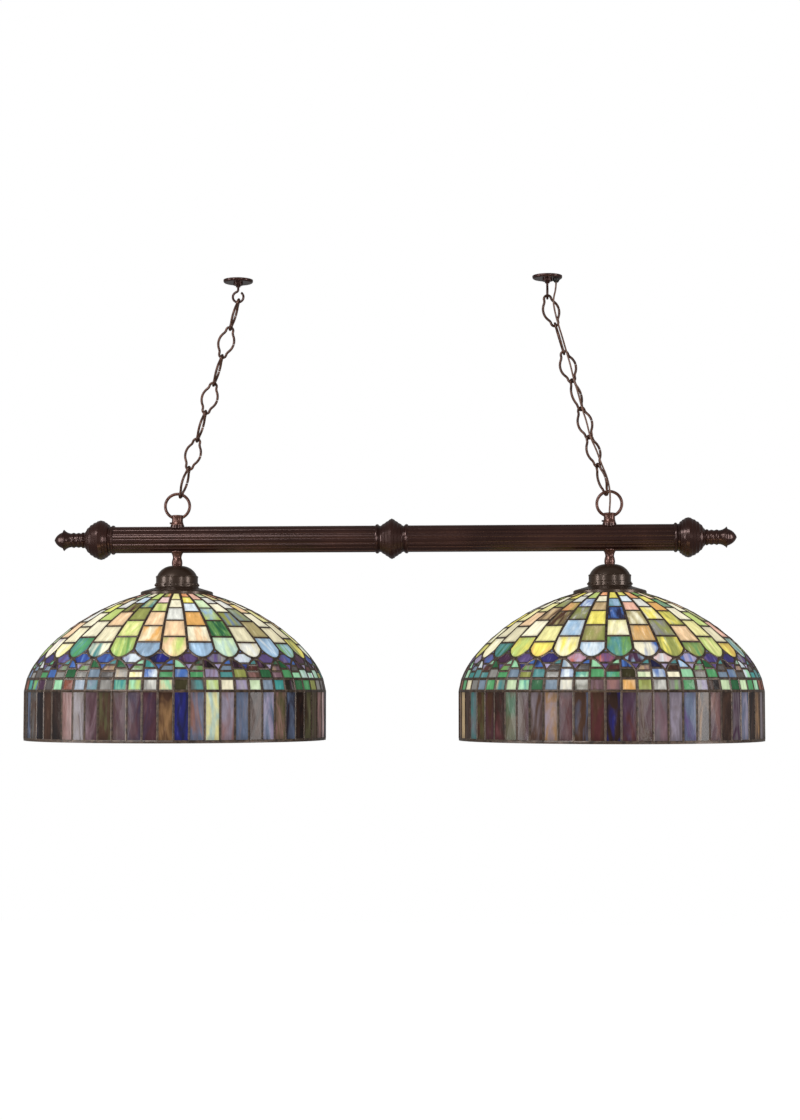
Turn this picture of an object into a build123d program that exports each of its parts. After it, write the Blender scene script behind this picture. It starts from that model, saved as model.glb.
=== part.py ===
"""Pool table lamp: two leaded-glass domes under a fluted bar that hangs on two chains.

Millimetres. The origin is on the ceiling, midway between the two ceiling plates.
+Z is up, +X runs along the bar, the front is -Y.
"""
from build123d import *
from math import asin, atan2, cos, radians, sin, sqrt
import os

os.makedirs("parts", exist_ok=True)

# ---------------------------------------------------------------- driving sizes
SIDES = {"left": -1, "right": 1}

# ceiling plates and hooks
HOOK_X = 261.0            # half the distance between the two hooks
PLATE_R = 25.0
PLATE_T = 5.0
BOSS_R = 8.0
BOSS_DEPTH = 9.0          # underside of the boss, below the ceiling
SCREW_Y = 17.0            # half the distance between a plate's two screws
SCREW_HOLE_R = 2.2
HOOK_WIRE_R = 2.0
HOOK_BEND_R = 9.0
HOOK_DROP = 38.0          # wire centre at the bottom of the hook, below the ceiling
HOOK_MOUTH = 35.0         # degrees of the hook's circle left open
FIT = 0.05                # radial clearance of a shaft in its hole

# chain
WIRE_R = 2.1
LINK_HALF = 26.9          # from a link's centre to its wire's centre at an end
LINK_END_R = 6.0
LINK_WIDE = 13.1          # from a link's centre to its wire's centre at the waist
SHOULDER_R = 11.0
LINK_SEAM = 0.8
LINK_GAP = 0.25
LINKS = 7
HOOK_GAP = 0.9
RING_GAP = 0.5
# turn of each link about the chain's line, from the top; 0 faces the front
TWIST = {"left": (90, 0, 90, 4, 88, -4, 82), "right": (0, 88, -10, 52, -30, 32, -64)}

# hanging loops
RING_X = 362.0            # from the middle of the bar to a lamp's upright axis
RING_R = 20.65
RING_WIRE_R = 2.5
RING_LIFT = 56.6          # loop's centre above the bar's axis
NIPPLE_R = 5.0
NIPPLE_BORE_R = 3.4

# bar
BAR_R = 22.25
BAR_BORE_R = 20.0
FLUTES = 18
FLUTE_R = 3.4
FLUTE_DEPTH = 1.1
TUBE_START = 27.5
TUBE_END = 468.0
BALL_LENGTH = 51.4
STUD_R = 3.0
SLEEVE_HALF = 70.0

# what holds a shade, heights from the bar's axis
NIPPLE_TOP = 34.5
NIPPLE_FOOT = -112.0
SET_SCREW_R = 1.6
PEARLS = 22
PEARL_R = 1.9

# cord and leads
CORD_R = 1.5
LEAD_R = 1.1
BUSHING_OUT = 15.0        # from the hook to the cord's bushing
BUSHING_R = 4.0
CONNECTOR_FROM = 30.0     # near end of the wire connector, from the right lamp's axis
CONNECTOR_TO = 52.0
SLOT_BEND_R = 8.0         # bend of the cord where it leaves the nipple's slot

# leaded-glass dome, heights from the line between the squares and the strips
LINE_DROP = 254.0         # that line, below the bar's axis
DOME_R = 250.0
DOME_H = 170.5
DOME_POWER = 1.65
GLASS_T = 3.0
CROWN_TOP_R = 58.0
SCALLOP_R = 222.0
SKIRT_DEPTH = 78.0
RIM_H = 3.0

# ---------------------------------------------------------------- worked-out places
LINK_PITCH = 2 * LINK_HALF - 2 * WIRE_R - LINK_GAP
HOOK_TO_LINK = WIRE_R + HOOK_WIRE_R + HOOK_GAP
LINK_TO_RING = WIRE_R + RING_WIRE_R + RING_GAP
HOOK_TO_RING = 2 * LINK_HALF + (LINKS - 1) * LINK_PITCH - HOOK_TO_LINK - LINK_TO_RING + RING_R
LEAN = asin((RING_X - HOOK_X) / HOOK_TO_RING)
RING_Z = -HOOK_DROP - HOOK_TO_RING * cos(LEAN)
BAR_Z = RING_Z - RING_LIFT
LINE_Z = BAR_Z - LINE_DROP


def finish(part, name):
    """Name a finished piece and write its file."""
    part.label = name
    export_step(part, f"parts/{name}.step")


def upright_plane(x, z):
    """Drawing plane for a piece turned about an upright axis: radius across, height up."""
    return Plane(origin=(x, 0, z), x_dir=(1, 0, 0), z_dir=(0, -1, 0))


def turned_upright(outline, x, z):
    """Piece turned about the upright axis at x from an outline of (radius, height) corners."""
    with BuildPart() as piece:
        with BuildSketch(upright_plane(x, z)):
            with BuildLine():
                Polyline(*outline, close=True)
            make_face()
        revolve(axis=Axis((x, 0, z), (0, 0, 1)))
    return piece.part


def turned_on_bar(outline, bore_r):
    """Piece turned about the bar's axis from (distance along, radius) corners, bored through."""
    start = outline[0][0]
    end = outline[-1][0]
    with BuildPart() as piece:
        with BuildSketch(Plane(origin=(0, 0, BAR_Z), x_dir=(1, 0, 0), z_dir=(0, -1, 0))):
            with BuildLine():
                Polyline((start, bore_r), *outline, (end, bore_r), close=True)
            make_face()
        revolve(axis=Axis((0, 0, BAR_Z), (1, 0, 0)))
    return piece.part


def mirrored(outline, sign):
    """The same outline on the chosen side of the middle."""
    return [(sign * along, across) for along, across in outline]


# ---------------------------------------------------------------- ceiling plates and hooks
def ceiling_plate(side, sign):
    """Small turned plate with two screw holes, a boss for the hook and, on the right, a hole for the cord."""
    x = sign * HOOK_X
    with BuildPart() as plate:
        with BuildSketch(Plane.XY.offset(-PLATE_T)):
            with Locations((x, 0)):
                Circle(PLATE_R)
        extrude(amount=PLATE_T)
        with BuildSketch(Plane.XY.offset(-BOSS_DEPTH)):
            with Locations((x, 0)):
                Circle(BOSS_R)
        extrude(amount=BOSS_DEPTH - PLATE_T)
        rim = plate.edges().filter_by(GeomType.CIRCLE).group_by(Axis.Z)[1].sort_by(SortBy.RADIUS)[-1]
        fillet(rim, radius=3)
        holes = [(x, SCREW_Y, SCREW_HOLE_R), (x, -SCREW_Y, SCREW_HOLE_R), (x, 0, HOOK_WIRE_R + FIT)]
        if side == "right":
            holes.append((x + BUSHING_OUT, 0, BUSHING_R + FIT))
        for hole_x, hole_y, hole_r in holes:
            with BuildSketch():
                with Locations((hole_x, hole_y)):
                    Circle(hole_r)
            extrude(amount=-BOSS_DEPTH, mode=Mode.SUBTRACT)
    finish(plate.part, f"{side}_ceiling_plate")


def ceiling_hook(side, sign):
    """Round-wire hook: a shank up into the plate and an open eye; the left eye faces front, the right one sideways."""
    across = (1, 0, 0) if side == "left" else (0, 1, 0)
    facing = (0, -1, 0) if side == "left" else (1, 0, 0)
    plane = Plane(origin=(sign * HOOK_X, 0, -HOOK_DROP + HOOK_BEND_R), x_dir=across, z_dir=facing)
    lean_back = radians(20)
    join = (-HOOK_BEND_R * sin(lean_back), HOOK_BEND_R * cos(lean_back))
    neck_r = -join[0] / (1 - sin(lean_back))
    neck_top = (0, join[1] + neck_r * cos(lean_back))
    neck_mid_angle = -(radians(90) - lean_back) / 2
    neck_mid = (neck_r * (cos(neck_mid_angle) - 1), neck_top[1] + neck_r * sin(neck_mid_angle))
    tip_angle = radians(90 - HOOK_MOUTH)
    tip = (HOOK_BEND_R * cos(tip_angle), HOOK_BEND_R * sin(tip_angle))
    with BuildPart() as hook:
        with BuildLine(plane) as wire:
            Line((0, HOOK_DROP - HOOK_BEND_R - 1), neck_top)
            ThreePointArc(neck_top, neck_mid, join)
            ThreePointArc(join, (-HOOK_BEND_R, 0), (0, -HOOK_BEND_R))
            ThreePointArc((0, -HOOK_BEND_R), (HOOK_BEND_R * cos(-0.3), HOOK_BEND_R * sin(-0.3)), tip)
        path = wire.wires()[0]
        with BuildSketch(Plane(origin=path @ 0, z_dir=path % 0)):
            Circle(HOOK_WIRE_R)
        sweep()
    finish(hook.part, f"{side}_ceiling_hook")


def hook_nut(side, sign):
    """Hexagon nut that holds the hook's shank under the boss."""
    with BuildPart() as nut:
        with BuildSketch(Plane.XY.offset(-BOSS_DEPTH - 3.2)):
            with Locations((sign * HOOK_X, 0)):
                RegularPolygon(3.5, 6, major_radius=False)
                Circle(HOOK_WIRE_R + FIT, mode=Mode.SUBTRACT)
        extrude(amount=3.2)
    finish(nut.part, f"{side}_hook_nut")


# ---------------------------------------------------------------- chain links
def chain_up(sign):
    """Direction of a chain from its loop up to its hook."""
    return Vector(-sign * sin(LEAN), 0, cos(LEAN))


def link_centre(sign, number):
    """Centre of a link, counted from 1 at the top."""
    hook = Vector(sign * HOOK_X, 0, -HOOK_DROP)
    along = HOOK_TO_LINK - LINK_HALF - (number - 1) * LINK_PITCH
    return hook + chain_up(sign) * along


def link_plane(side, number):
    """Plane of a link: its length up the chain, its width turned by the link's twist."""
    sign = SIDES[side]
    up = chain_up(sign)
    sideways = Vector(cos(LEAN), 0, sign * sin(LEAN))
    turn = radians(TWIST[side][number - 1])
    across = sideways * cos(turn) + Vector(0, 1, 0) * sin(turn)
    return Plane(origin=link_centre(sign, number), x_dir=across, z_dir=across.cross(up))


def chain_link(plane):
    """Open link of bent wire: round narrow ends, hollow shoulders and a wide belly, with a seam in one side."""
    end_y = LINK_HALF - LINK_END_R
    swell = LINK_WIDE - LINK_END_R
    bend = 2 * atan2(swell, end_y)
    belly_r = end_y / sin(bend) - SHOULDER_R
    belly_x = LINK_WIDE - belly_r

    def on_belly(angle):
        return (belly_x + belly_r * cos(angle), belly_r * sin(angle))

    def on_shoulder(angle):
        return (LINK_END_R + SHOULDER_R * (1 - cos(angle)), end_y - SHOULDER_R * sin(angle))

    def flip(point, x=1, y=1):
        return (x * point[0], y * point[1])

    seam = asin(LINK_SEAM / 2 / belly_r)
    with BuildPart() as link:
        with BuildLine(plane) as wire:
            ThreePointArc(on_belly(seam), on_belly(bend / 2), on_belly(bend))
            ThreePointArc(on_belly(bend), on_shoulder(bend / 2), on_shoulder(0))
            ThreePointArc(on_shoulder(0), (0, LINK_HALF), flip(on_shoulder(0), x=-1))
            ThreePointArc(flip(on_shoulder(0), -1), flip(on_shoulder(bend / 2), -1), flip(on_belly(bend), -1))
            ThreePointArc(flip(on_belly(bend), -1), (-LINK_WIDE, 0), flip(on_belly(bend), -1, -1))
            ThreePointArc(flip(on_belly(bend), -1, -1), flip(on_shoulder(bend / 2), -1, -1), (-LINK_END_R, -end_y))
            ThreePointArc((-LINK_END_R, -end_y), (0, -LINK_HALF), (LINK_END_R, -end_y))
            ThreePointArc((LINK_END_R, -end_y), flip(on_shoulder(bend / 2), 1, -1), flip(on_belly(bend), 1, -1))
            ThreePointArc(flip(on_belly(bend), 1, -1), on_belly(-bend / 2), on_belly(-seam))
        path = wire.wires()[0]
        with BuildSketch(Plane(origin=path @ 0, z_dir=path % 0)):
            Circle(WIRE_R)
        sweep()
    return link.part


def chains(side):
    """The top link on its own, and the links below it as one group."""
    finish(chain_link(link_plane(side, 1)), f"{side}_top_link")
    lower = [chain_link(link_plane(side, number)) for number in range(2, LINKS + 1)]
    with BuildPart() as group:
        add(lower)
    finish(group.part, f"{side}_chain_links")


# ---------------------------------------------------------------- hanging loops
def hanging_loop(side, sign):
    """Cast ring on a waisted collar, bored for the nipple below and the cord above."""
    x = sign * RING_X
    with BuildPart() as loop:
        with BuildSketch(upright_plane(x, BAR_Z)):
            with BuildLine():
                Line((0, 24.4), (10.8, 24.4))
                Line((10.8, 24.4), (10.8, 25.6))
                ThreePointArc((10.8, 25.6), (9.3, 32), (10.2, 39))
                ThreePointArc((10.2, 39), (9.8, 40.8), (8, 41.5))
                Line((8, 41.5), (0, 41.5))
                Line((0, 41.5), (0, 24.4))
            make_face()
        revolve(axis=Axis((x, 0, BAR_Z), (0, 0, 1)))
        with BuildSketch(Plane.YZ.offset(x)):
            with Locations((0, RING_Z + RING_R)):
                Circle(RING_WIRE_R)
        revolve(axis=Axis((x, 0, RING_Z), (0, 1, 0)))
        for bottom, height, bore_r in ((24.4, 10.6, NIPPLE_R + FIT), (35, 8, NIPPLE_BORE_R)):
            with BuildSketch(Plane.XY.offset(BAR_Z + bottom)):
                with Locations((x, 0)):
                    Circle(bore_r)
            extrude(amount=height, mode=Mode.SUBTRACT)
        with BuildSketch(Plane.YZ.offset(x - 12)):
            with Locations((0, BAR_Z + 28)):
                Circle(SET_SCREW_R)
        extrude(amount=12, mode=Mode.SUBTRACT)
    finish(loop.part, f"{side}_hanging_loop")


def set_screw(side, sign):
    """Slotted grub screw that locks the loop's collar on the nipple."""
    x = sign * RING_X
    with BuildPart() as screw:
        with BuildSketch(Plane.YZ.offset(x - 13)):
            with Locations((0, BAR_Z + 28)):
                Circle(SET_SCREW_R)
        extrude(amount=13 - NIPPLE_R - 2 * FIT)
        with BuildSketch(Plane.YZ.offset(x - 13)):
            with Locations((0, BAR_Z + 28)):
                Rectangle(2 * SET_SCREW_R, 0.7)
        extrude(amount=1, mode=Mode.SUBTRACT)
    finish(screw.part, f"{side}_set_screw")


def loop_washer(side, sign):
    """Dark washer between the collar and the bar, hollowed below to sit on the bar."""
    x = sign * RING_X
    with BuildPart() as washer:
        with BuildSketch(Plane.XY.offset(BAR_Z + 19)):
            with Locations((x, 0)):
                Circle(11.6)
                Circle(NIPPLE_R + FIT, mode=Mode.SUBTRACT)
        extrude(amount=5.4)
        with BuildSketch(Plane.YZ.offset(x - 20)):
            with Locations((0, BAR_Z)):
                Circle(BAR_R)
        extrude(amount=40, mode=Mode.SUBTRACT)
    finish(washer.part, f"{side}_loop_washer")


# ---------------------------------------------------------------- bar
def bar_tube(side, sign):
    """Fluted tube, drilled through for the nipple."""
    near = min(sign * TUBE_START, sign * TUBE_END)
    with BuildPart() as tube:
        with BuildSketch(Plane.YZ.offset(near)):
            with Locations((0, BAR_Z)):
                Circle(BAR_R)
                Circle(BAR_BORE_R, mode=Mode.SUBTRACT)
                with PolarLocations(BAR_R + FLUTE_R - FLUTE_DEPTH, FLUTES):
                    Circle(FLUTE_R, mode=Mode.SUBTRACT)
        extrude(amount=TUBE_END - TUBE_START)
        with BuildSketch(Plane.XY.offset(BAR_Z - 30)):
            with Locations((sign * RING_X, 0)):
                Circle(NIPPLE_R + FIT)
        extrude(amount=60, mode=Mode.SUBTRACT)
    finish(tube.part, f"{side}_bar_tube")


def centre_coupling():
    """Turned double cone with three steps and an end bead on each side, over the joint of the two tubes."""
    half = [(4.5, 31.9), (5.3, 30.5), (10, 28.2), (10.8, 26.8), (15.5, 24.6), (16.5, 23.2), (19.2, 21.6),
            (21.2, 22.4), (22.6, 24.1), (24.6, 24.7), (26.5, 24.1), (TUBE_START, 22.6)]
    outline = [(-x, r) for x, r in reversed(half)] + [(0, 34.0)] + half
    finish(turned_on_bar(outline, BAR_BORE_R), "centre_coupling")


def centre_sleeve():
    """Plain sleeve inside the two tubes, under the coupling."""
    outline = [(-SLEEVE_HALF, BAR_BORE_R - FIT), (SLEEVE_HALF, BAR_BORE_R - FIT)]
    finish(turned_on_bar(outline, BAR_BORE_R - 2.2), "centre_sleeve")


def end_ball(side, sign):
    """Turned ball at the end of the bar: a bead, three steps up to the crest and three down to the finial."""
    steps = [(0, 22.6), (1, 24.2), (2.7, 24.8), (4.6, 24.2), (6, 22.4), (8.6, 22.8), (9.8, 26), (13, 27.6),
             (13.9, 29.2), (17.6, 30.8), (18.4, 32), (23.7, 33.4), (28.6, 32.2), (29.6, 30.8), (35, 29.2),
             (36.2, 27.2), (40.6, 25.6), (42.2, 23), (46, 20.4), (48.4, 16), (BALL_LENGTH, 13)]
    outline = mirrored([(TUBE_END + along, r) for along, r in steps], sign)
    finish(turned_on_bar(outline, STUD_R + FIT), f"{side}_end_ball")


def finial(side, sign):
    """Barbed spear point with three beads on its neck and a stud that screws into the plug."""
    start = TUBE_END + BALL_LENGTH
    stud_end = TUBE_END - 14
    with BuildPart() as piece:
        with BuildSketch(Plane(origin=(0, 0, BAR_Z), x_dir=(1, 0, 0), z_dir=(0, -1, 0))):
            with BuildLine():
                Polyline(*mirrored([(stud_end, 0), (stud_end, STUD_R), (start, STUD_R), (start, 11.6)], sign))
                for bead_start, crest_r in ((start, 13.4), (start + 7.6, 12.6), (start + 16.2, 12.8)):
                    foot = bead_start + 5.6
                    points = mirrored([(bead_start, 11.6), (bead_start + 2.8, crest_r), (foot, 11.6)], sign)
                    ThreePointArc(*points)
                Polyline(*mirrored([(start + 5.6, 11.6), (start + 7.6, 11.6)], sign))
                Polyline(*mirrored([(start + 13.2, 11.6), (start + 16.2, 11.6)], sign))
                flare = [(start + 21.8, 11.6), (start + 28, 12.6), (start + 35.4, 17.8)]
                ThreePointArc(*mirrored([flare[0], (start + 29.5, 13.4), flare[2]], sign))
                Polyline(*mirrored([flare[2], (start + 36.4, 14.4), (start + 38.2, 13.4)], sign))
                Spline(*mirrored([(start + 38.2, 13.4), (start + 46.6, 8.4), (start + 52, 0)], sign))
                Line(*mirrored([(start + 52, 0), (stud_end, 0)], sign))
            make_face()
        revolve(axis=Axis((0, 0, BAR_Z), (1, 0, 0)))
    finish(piece.part, f"{side}_finial")


def end_plug(side, sign):
    """Disc inside the tube's end, tapped for the finial's stud."""
    outline = mirrored([(TUBE_END - 16, BAR_BORE_R - FIT), (TUBE_END - 2, BAR_BORE_R - FIT)], sign)
    finish(turned_on_bar(outline, STUD_R + FIT), f"{side}_end_plug")


# ---------------------------------------------------------------- what holds a shade
def nipple(side, sign):
    """Threaded pipe from the loop down to the lampholder, slotted towards the middle for the wires."""
    x = sign * RING_X
    with BuildPart() as pipe:
        with BuildSketch(Plane.XY.offset(BAR_Z + NIPPLE_FOOT)):
            with Locations((x, 0)):
                Circle(NIPPLE_R)
                Circle(NIPPLE_BORE_R, mode=Mode.SUBTRACT)
        extrude(amount=NIPPLE_TOP - NIPPLE_FOOT)
        with BuildSketch(Plane.YZ.offset(x)):
            with Locations((0, BAR_Z)):
                SlotCenterToCenter(24, 5.4, rotation=90)
        extrude(amount=-sign * 10, mode=Mode.SUBTRACT)
    finish(pipe.part, f"{side}_nipple")


def stem(side, sign):
    """Small baluster between the bar and the socket cover, its top hollowed to fit the bar."""
    x = sign * RING_X
    with BuildPart() as piece:
        with BuildSketch(upright_plane(x, BAR_Z)):
            with BuildLine():
                Polyline((0, -44), (8.4, -44), (9, -40.5))
                ThreePointArc((9, -40.5), (8.6, -36), (7.3, -31))
                ThreePointArc((7.3, -31), (7.9, -26.5), (11.4, -20.5))
                Polyline((11.4, -20.5), (11.4, -17), (0, -17), (0, -44))
            make_face()
        revolve(axis=Axis((x, 0, BAR_Z), (0, 0, 1)))
        with BuildSketch(Plane.YZ.offset(x - 20)):
            with Locations((0, BAR_Z)):
                Circle(BAR_R)
        extrude(amount=40, mode=Mode.SUBTRACT)
        with BuildSketch(Plane.XY.offset(BAR_Z - 44)):
            with Locations((x, 0)):
                Circle(NIPPLE_R + FIT)
        extrude(amount=30, mode=Mode.SUBTRACT)
    finish(piece.part, f"{side}_stem")


def socket_cover(side, sign):
    """Spun dome over the joint: a domed top, a bead, a plain band and a flared foot with a row of pearls."""
    x = sign * RING_X
    wall = 1.4
    with BuildPart() as cover:
        with BuildSketch(upright_plane(x, BAR_Z)):
            with BuildLine():
                Polyline((NIPPLE_R + FIT, -44 - wall), (NIPPLE_R + FIT, -44), (11, -44.2))
                ThreePointArc((11, -44.2), (24.5, -49.6), (33.4, -61.2))
                ThreePointArc((33.4, -61.2), (35.4, -62.2), (35, -64))
                Polyline((35, -64), (35, -72.6), (36, -73.4), (36, -79.6), (37.6, -81.4), (37.6 - wall, -81.4))
                Polyline((37.6 - wall, -81.4), (36 - wall, -79.9), (35 - wall, -72.6), (35 - wall, -64))
                ThreePointArc((35 - wall, -64), (24 - wall, -50.7), (11, -44.2 - wall))
                Line((11, -44.2 - wall), (NIPPLE_R + FIT, -44 - wall))
            make_face()
        revolve(axis=Axis((x, 0, BAR_Z), (0, 0, 1)))
        for turn in range(PEARLS):
            angle = radians(360 / PEARLS * turn)
            with Locations((x + 36 * cos(angle), 36 * sin(angle), BAR_Z - 76.6)):
                Sphere(PEARL_R)
    finish(cover.part, f"{side}_socket_cover")


def vase_cap(side, sign):
    """Shallow spun cap with a turned-down lip that closes the top of the dome."""
    outline = [(NIPPLE_R + FIT, -81.4), (38.4, -81.4), (58.6, -87.4), (60.4, -88.8), (60.6, -93.1),
               (59, -93.1), (58.8, -90.2), (57.6, -89), (38, -83), (NIPPLE_R + FIT, -83)]
    finish(turned_upright(outline, sign * RING_X, BAR_Z), f"{side}_vase_cap")


def shade_ring(side, sign):
    """Stepped brass ring soldered inside the dome's top opening."""
    outline = [(51, -98.3), (57, -98.3), (57, -94.8), (54, -94.8), (54, -91.5), (51, -91.5)]
    finish(turned_upright(outline, sign * RING_X, BAR_Z), f"{side}_shade_ring")


def spider(side, sign):
    """Three-armed bracket that carries the ring on the nipple."""
    x = sign * RING_X
    with BuildPart() as bracket:
        with BuildSketch(Plane.XY.offset(BAR_Z - 94)):
            with Locations((x, 0)):
                Circle(12)
                with PolarLocations(31, 3, start_angle=30):
                    Rectangle(42, 9)
                Circle(50.9, mode=Mode.INTERSECT)
                Circle(NIPPLE_R + FIT, mode=Mode.SUBTRACT)
        extrude(amount=2.5)
        with BuildSketch(Plane.XY.offset(BAR_Z - 91.5)):
            with Locations((x, 0)):
                Circle(9)
                Circle(NIPPLE_R + FIT, mode=Mode.SUBTRACT)
        extrude(amount=8.5)
    finish(bracket.part, f"{side}_spider")


def lock_nut(side, sign):
    """Hexagon nut that clamps the spider and the cap against the stem."""
    with BuildPart() as nut:
        with BuildSketch(Plane.XY.offset(BAR_Z - 99.5)):
            with Locations((sign * RING_X, 0)):
                RegularPolygon(8.5, 6, major_radius=False)
                Circle(NIPPLE_R + FIT, mode=Mode.SUBTRACT)
        extrude(amount=5.5)
    finish(nut.part, f"{side}_lock_nut")


# ---------------------------------------------------------------- lampholders and bulbs
def lampholder(side, sign):
    """Shell that screws on the nipple's foot and takes the bulb's base."""
    outline = [(NIPPLE_R + FIT, -104), (9, -104), (9, -108), (16, -113), (18.6, -121), (18.6, -158), (13.7, -158),
               (13.7, -128), (7, -128), (7, -112.4), (NIPPLE_R + FIT, -112.4)]
    finish(turned_upright(outline, sign * RING_X, BAR_Z), f"{side}_lampholder")


def bulb_base(side, sign):
    """Screw base of the bulb with four rolled threads."""
    outline = [(0, -129.4), (4, -129.4), (6, -132), (12, -134.5)]
    for turn in range(4):
        top = -136 - 4.6 * turn
        outline += [(12.3, top), (13.2, top - 1.6), (13.2, top - 3)]
    outline += [(12.3, -154.4), (12.3, -157), (0, -157)]
    finish(turned_upright(outline, sign * RING_X, BAR_Z), f"{side}_bulb_base")


def bulb(side, sign):
    """Pear-shaped glass bulb, a closed shell standing on its base."""
    x = sign * RING_X
    with BuildPart() as glass:
        with BuildSketch(upright_plane(x, BAR_Z)):
            with BuildLine():
                Line((0, -157.2), (12.8, -157.2))
                Spline((12.8, -157.2), (16, -172), (27, -192), (31.5, -212), (25, -236), (0, -247), tangents=((0, -1), (-1, 0)))
                Line((0, -247), (0, -246))
                Spline((0, -246), (24.3, -235.3), (30.5, -212), (26, -192.4), (15, -172.3), (11.8, -158.2),
                       tangents=((1, 0), (0, 1)))
                Polyline((11.8, -158.2), (0, -158.2), (0, -157.2))
            make_face()
        revolve(axis=Axis((x, 0, BAR_Z), (0, 0, 1)))
    finish(glass.part, f"{side}_bulb")


# ---------------------------------------------------------------- leaded-glass domes
def dome_point(radius, depth):
    """Point of the dome's outline at a radius, moved inwards by depth along its normal."""
    across = (radius / DOME_R) ** DOME_POWER
    height = DOME_H * (1 - across) ** (1 / DOME_POWER)
    slope_r = across / radius
    slope_z = (height / DOME_H) ** DOME_POWER / max(height, 0.001)
    if height < 0.5:
        slope_z = 0
    size = sqrt(slope_r ** 2 + slope_z ** 2)
    return (radius - depth * slope_r / size, height - depth * slope_z / size)


def dome_shell(side, sign, name, radii):
    """Ring of the dome between the first and last of the radii, one glass thickness deep."""
    x = sign * RING_X
    outer = [dome_point(radius, 0) for radius in radii]
    inner = [dome_point(radius, GLASS_T) for radius in reversed(radii)]
    with BuildPart() as shell:
        with BuildSketch(upright_plane(x, LINE_Z)):
            with BuildLine():
                Spline(*outer)
                Line(outer[-1], inner[0])
                Spline(*inner)
                Line(inner[-1], outer[0])
            make_face()
        revolve(axis=Axis((x, 0, LINE_Z), (0, 0, 1)))
    finish(shell.part, f"{side}_{name}")


def skirt_glass(side, sign):
    """Upright band of long strips below the dome."""
    outline = [(DOME_R, 0), (DOME_R, -SKIRT_DEPTH), (DOME_R - GLASS_T, -SKIRT_DEPTH), (DOME_R - GLASS_T, 0)]
    finish(turned_upright(outline, sign * RING_X, LINE_Z), f"{side}_skirt_glass")


def rim_came(side, sign):
    """Channel of lead around the skirt's lower edge."""
    top = -SKIRT_DEPTH
    outline = [(DOME_R + 0.6, top), (DOME_R + 0.6, top - RIM_H), (DOME_R - GLASS_T - 0.6, top - RIM_H),
               (DOME_R - GLASS_T - 0.6, top)]
    finish(turned_upright(outline, sign * RING_X, LINE_Z), f"{side}_rim_came")


# ---------------------------------------------------------------- cord and leads
def cord_bushing():
    """Grommet in the right ceiling plate for the supply cord."""
    outline = [(CORD_R + FIT, -1), (BUSHING_R, -1), (BUSHING_R, -PLATE_T), (5.6, -PLATE_T), (5.6, -7.4), (3.4, -11),
               (CORD_R + FIT, -11)]
    finish(turned_upright(outline, HOOK_X + BUSHING_OUT, 0), "cord_bushing")


def chain_point(down, sideways, forward):
    """Place beside the right-hand chain: distance down from the hook, to the right and to the front."""
    hook = Vector(HOOK_X, 0, -HOOK_DROP)
    beside = Vector(cos(LEAN), 0, sin(LEAN))
    return hook - chain_up(1) * down + beside * sideways + Vector(0, -forward, 0)


# the cord's way down the chain: (down, sideways, forward); it weaves through each link in turn
CORD_ROUTE = [(6, 7.9, 6), (24, 5.4, 5.5), (46.6, 4.5, 4.8), (71, 4.8, 6.1), (96, 4.4, 5.3), (120, 4.4, 6.9),
              (145, 2.7, 6.3), (170, 3.2, 7.1), (195, 1.8, 6.5), (219, 3, 7.3), (244, 1, 6.9), (268, 5, 6.1),
              (293, 6.3, 2.9), (316, 9, 4.9), (338, 7.5, 5.5)]


def wire_tube(points, radii, tube_r):
    """Round wire along straight runs joined by arcs."""
    with BuildPart() as tube:
        with BuildLine() as route:
            FilletPolyline(*points, radius=radii)
        path = route.wires()[0]
        with BuildSketch(Plane(origin=path @ 0, z_dir=path % 0)):
            Circle(tube_r)
        sweep()
    return tube.part


def largest_radii(points, share=0.45):
    """For each corner, the radius that takes up the given share of its shorter run."""
    radii = []
    for before, corner, after in zip(points, points[1:], points[2:]):
        run_in = corner - before
        run_out = after - corner
        turn = radians(run_in.get_angle(run_out))
        radii.append(share * min(run_in.length, run_out.length) / tan_half(turn))
    return radii


def tan_half(turn):
    """Tangent of half a turn."""
    return sin(turn) / (1 + cos(turn))


def supply_cord():
    """Brown cord from the ceiling, woven down the right-hand chain and through its loop into the collar."""
    points = [Vector(HOOK_X + BUSHING_OUT, 0, 0), Vector(HOOK_X + BUSHING_OUT, 0, -20)]
    points += [chain_point(*place) for place in CORD_ROUTE]
    points += [Vector(RING_X + 1.5, -2.6, RING_Z + 4), Vector(RING_X, 0, BAR_Z + 44), Vector(RING_X, 0, BAR_Z + 9)]
    points += [Vector(RING_X - 16, 0, BAR_Z + 2.6), Vector(RING_X - CONNECTOR_FROM, 0, BAR_Z + 2.6)]
    radii = largest_radii(points)
    radii[-2] = SLOT_BEND_R
    print("supply cord radii", [round(radius) for radius in radii])
    cord = wire_tube(points, radii, CORD_R)
    print("supply cord length", round(cord.volume / (3.14159 * CORD_R ** 2)))
    finish(cord, "supply_cord")


def lead(side, sign):
    """Lamp lead from the wire connectors through the bar and down the nipple to the lampholder."""
    x = sign * RING_X
    if side == "right":
        points = [Vector(RING_X - CONNECTOR_FROM, 0, BAR_Z - 2.6), Vector(RING_X - 16, 0, BAR_Z - 2.6)]
    else:
        points = [Vector(RING_X - CONNECTOR_TO, 0, BAR_Z), Vector(RING_X - 75, 0, BAR_Z)]
        points += [Vector(RING_X - 120, 1, BAR_Z - 8)]
        points += [Vector(0, -1, BAR_Z - 9), Vector(x + 60, 1, BAR_Z - 8), Vector(x + 16, 0, BAR_Z - 2.6)]
    points += [Vector(x, 0, BAR_Z - 12), Vector(x, 0, BAR_Z - 120)]
    finish(wire_tube(points, largest_radii(points, 0.3), LEAD_R), f"{side}_lead")


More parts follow.
